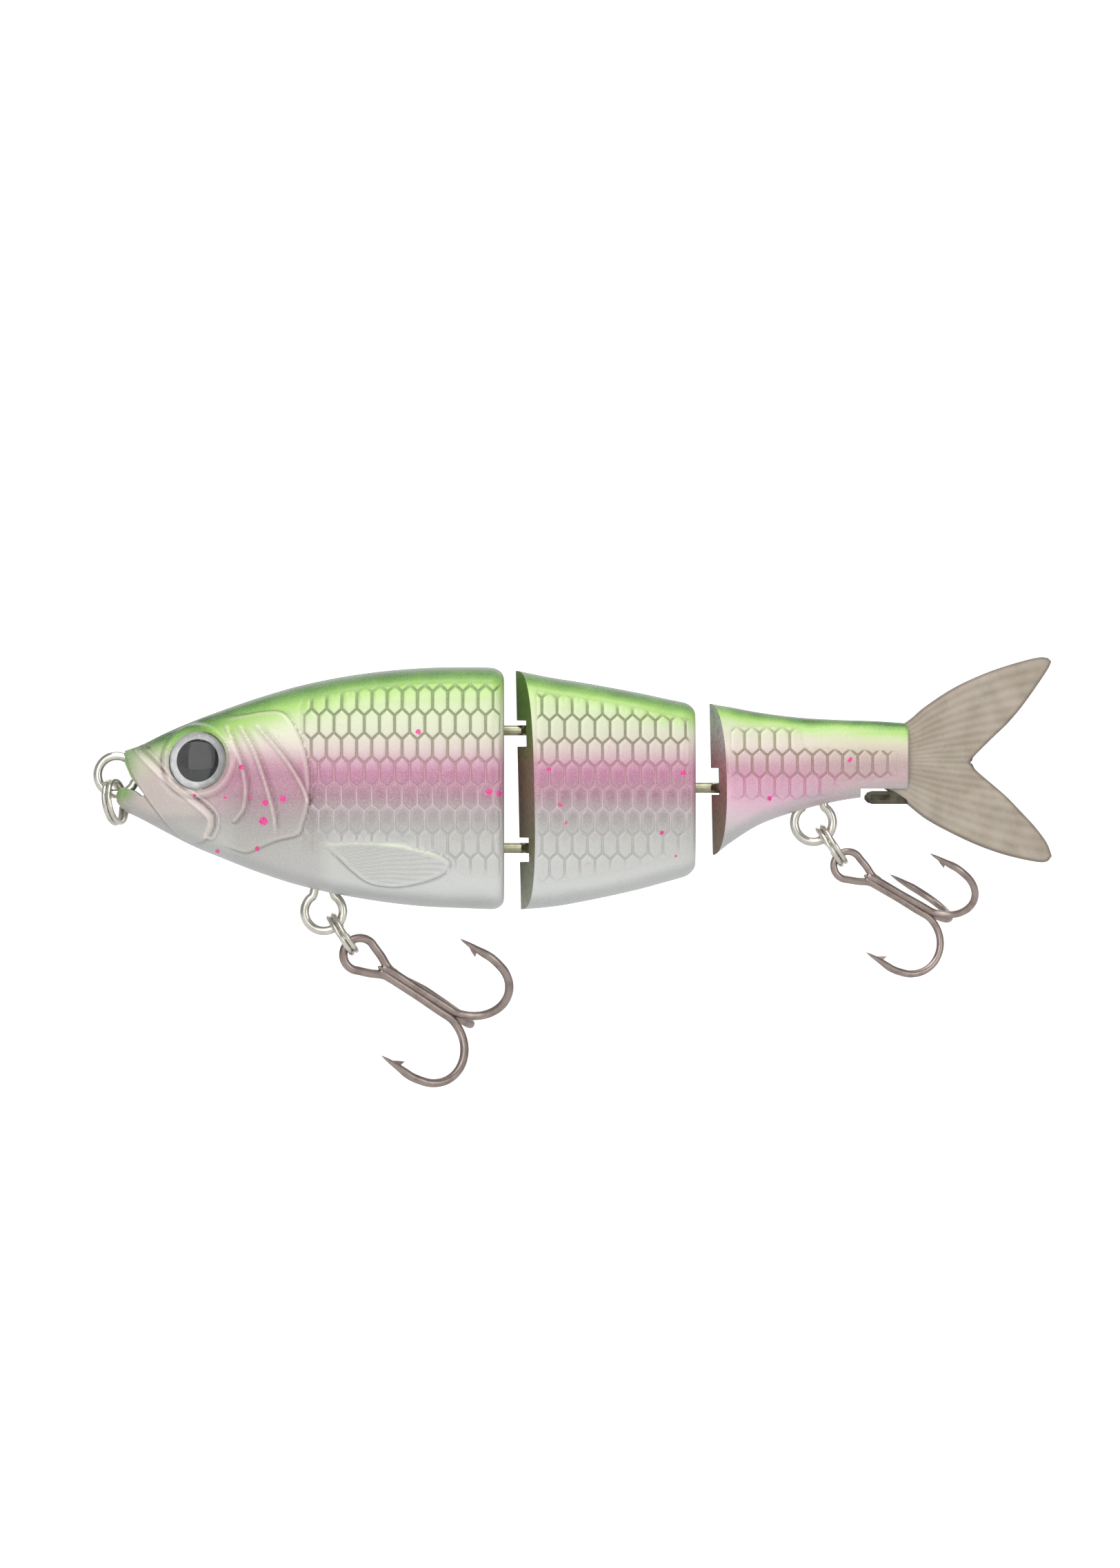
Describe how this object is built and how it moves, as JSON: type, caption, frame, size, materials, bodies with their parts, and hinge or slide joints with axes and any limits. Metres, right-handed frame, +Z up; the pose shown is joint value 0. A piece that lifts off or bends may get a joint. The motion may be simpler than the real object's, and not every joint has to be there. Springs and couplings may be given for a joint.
{
  "type": "jointed swimbait lure",
  "caption": "Jointed fish-shaped lure: hollow head, middle and tail sections on wire hinges, with a soft forked tail fin and treble hooks hung on split rings.",
  "frame": {"origin": "centre of the line-tie eye, on the plane that parts the left and right shells", "axes": "+X from the nose towards the tail, +Y towards the fish's right side, +Z up towards the back"},
  "size_m": [0.1655, 0.0302, 0.0741],
  "materials": {
    "painted_shell": "pearl paint, green over pink over silver, under a clear coat",
    "eye_print": "black pupil with a silver rim",
    "eye_lens": "clear domed resin",
    "wire": "bright stainless wire",
    "split_ring": "bright nickel",
    "hook": "smoked black nickel",
    "soft_fin": "smoky translucent soft plastic",
    "ballast": "dull grey metal"
  },
  "bodies": {
    "head_section": {"head_shell_left": "painted_shell", "head_shell_right": "painted_shell", "eye_disc_left": "eye_print", "eye_disc_right": "eye_print", "eye_lens_left": "eye_lens", "eye_lens_right": "eye_lens", "line_tie": "wire", "belly_hanger": "wire", "front_hinge_eye_upper": "wire", "front_hinge_eye_lower": "wire", "head_ballast": "ballast"},
    "middle_section": {"middle_shell_left": "painted_shell", "middle_shell_right": "painted_shell", "front_hinge_pin": "wire", "rear_hinge_eye": "wire", "middle_ballast": "ballast"},
    "tail_section": {"tail_shell_left": "painted_shell", "tail_shell_right": "painted_shell", "rear_hinge_pin": "wire", "tail_hanger": "wire"},
    "soft_fin": {"tail_fin": "soft_fin"},
    "tie_ring": {"line_tie_ring": "split_ring"},
    "belly_ring": {"belly_split_ring": "split_ring"},
    "belly_hook": {"belly_treble_hook": "hook"},
    "tail_ring": {"tail_split_ring": "split_ring"},
    "tail_hook": {"tail_treble_hook": "hook"}
  },
  "joints": [
    {"name": "front_joint", "type": "hinge", "parent": "head_section", "child": "middle_section", "pos_m": [0.0727, 0, 0], "axis": [0, 0, 1], "range_deg": [-26, 26]},
    {"name": "rear_joint", "type": "hinge", "parent": "middle_section", "child": "tail_section", "pos_m": [0.1054, 0, 0], "axis": [0, 0, 1], "range_deg": [-35, 35]},
    {"name": "tail_fin_flex", "type": "hinge", "parent": "tail_section", "child": "soft_fin", "pos_m": [0.1365, 0, 0], "axis": [0, 0, 1], "range_deg": [-25, 25], "stiffness_Nm_per_rad": 0.02, "deforming": ["tail_fin"]},
    {"name": "tie_ring_swing", "type": "hinge", "parent": "head_section", "child": "tie_ring", "pos_m": [0, 0, 0], "axis": [0, 1, 0], "range_deg": [0, 120]},
    {"name": "belly_ring_swing", "type": "hinge", "parent": "head_section", "child": "belly_ring", "pos_m": [0.03782, 0, -0.02612], "axis": [0.766, 0, 0.6428], "range_deg": [-35, 35]},
    {"name": "belly_hook_swing", "type": "hinge", "parent": "belly_ring", "child": "belly_hook", "pos_m": [0.04095, 0, -0.03053], "axis": [0, 1, 0], "range_deg": [-10, 100]},
    {"name": "tail_ring_swing", "type": "hinge", "parent": "tail_section", "child": "tail_ring", "pos_m": [0.12225, 0, -0.0108], "axis": [0.7826, 0, 0.6225], "range_deg": [-35, 35]},
    {"name": "tail_hook_swing", "type": "hinge", "parent": "tail_ring", "child": "tail_hook", "pos_m": [0.12537, 0, -0.01523], "axis": [0, 1, 0], "range_deg": [-10, 100]}
  ]
}
